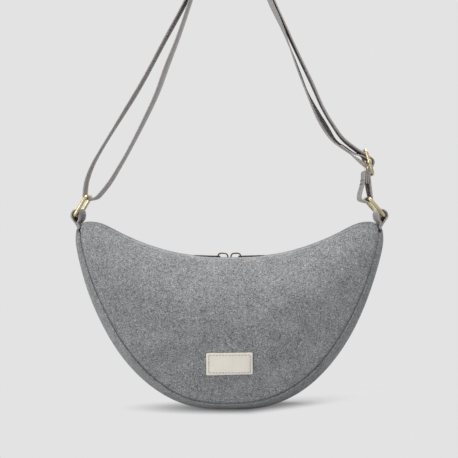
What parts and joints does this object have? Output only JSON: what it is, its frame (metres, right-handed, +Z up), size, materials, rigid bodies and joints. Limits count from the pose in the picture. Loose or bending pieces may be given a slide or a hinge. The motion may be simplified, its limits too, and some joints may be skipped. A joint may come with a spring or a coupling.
{
  "type": "belt bag",
  "caption": "Crescent-shaped felt belt bag with a two-way top zip, corner tabs with rings and an adjustable webbing strap.",
  "frame": {"origin": "middle of the base that the bag stands on", "axes": "+X along the bag towards the end with the strap's adjuster, +Y from the labelled front to the back, +Z up"},
  "size_m": [0.334, 0.0862, 0.511],
  "materials": {
    "felt": "mottled grey wool felt",
    "lining": "plain woven lining",
    "webbing": "warm grey ribbed webbing",
    "zip_tape": "woven zip tape",
    "aged_brass": "pale antique brass wire",
    "dark_bronze": "dark bronze zip hardware",
    "label": "cream woven label, left bare"
  },
  "bodies": {
    "bag": {"front_panel": "felt", "back_panel": "felt", "bottom_gusset": "felt", "zip_strip_front": "felt", "zip_strip_back": "felt", "lining_front": "lining", "lining_back": "lining", "lining_gusset": "lining", "zip_tape_front": "zip_tape", "zip_tape_back": "zip_tape", "zip_teeth_front": "dark_bronze", "zip_teeth_back": "dark_bronze", "zip_stop_left": "dark_bronze", "zip_stop_right": "dark_bronze", "label": "label"},
    "slider_left": {"zip_slider_left": "dark_bronze"},
    "slider_right": {"zip_slider_right": "dark_bronze"},
    "pull_left": {"zip_pull_left": "dark_bronze"},
    "pull_right": {"zip_pull_right": "dark_bronze"},
    "tabs": {"tab_left": "webbing", "tab_right": "webbing"},
    "ring_left": {"ring_left": "aged_brass"},
    "strap": {"strap": "webbing", "adjuster_frame": "aged_brass", "adjuster_bar": "aged_brass"},
    "ring_right": {"ring_right": "aged_brass"}
  },
  "joints": [
    {"name": "slider_left_travel", "type": "hinge", "parent": "bag", "child": "slider_left", "pos_m": [0, 0, 0.4218], "axis": [0, 1, 0], "range_deg": [0, 22.2]},
    {"name": "slider_right_travel", "type": "hinge", "parent": "bag", "child": "slider_right", "pos_m": [0, 0, 0.4218], "axis": [0, 1, 0], "range_deg": [-22.2, 0]},
    {"name": "pull_left_flip", "type": "hinge", "parent": "slider_left", "child": "pull_left", "pos_m": [-0.0104, 0, 0.16168], "axis": [0, 1, 0], "range_deg": [0, 106]},
    {"name": "pull_right_flip", "type": "hinge", "parent": "slider_right", "child": "pull_right", "pos_m": [0.0104, 0, 0.16168], "axis": [0, 1, 0], "range_deg": [-106, 0]},
    {"name": "strap_swing", "type": "hinge", "parent": "bag", "child": "tabs", "pos_m": [0, 0, 0.1823], "axis": [1, 0, 0], "range_deg": [-105, 105], "deforming": ["tab_left", "tab_right"]},
    {"name": "strap_sway", "type": "hinge", "parent": "tabs", "child": "strap", "pos_m": [-0.03101, 0, 0.42896], "axis": [0, 1, 0], "range_deg": [-0.7, 0.7]},
    {"name": "ring_left_sway", "type": "hinge", "parent": "tabs", "child": "ring_left", "pos_m": [-0.16279, 0, 0.20524], "axis": [0, 1, 0], "range_deg": [-7.2, 7.2]},
    {"name": "ring_right_sway", "type": "hinge", "parent": "tabs", "child": "ring_right", "pos_m": [0.16279, 0, 0.20524], "axis": [0, 1, 0], "range_deg": [-8.3, 8.3]}
  ],
  "couplings": [
    {"joint": "ring_left_sway", "follows": "strap_sway", "ratio": -9.91},
    {"joint": "ring_right_sway", "follows": "strap_sway", "ratio": -11.437}
  ]
}
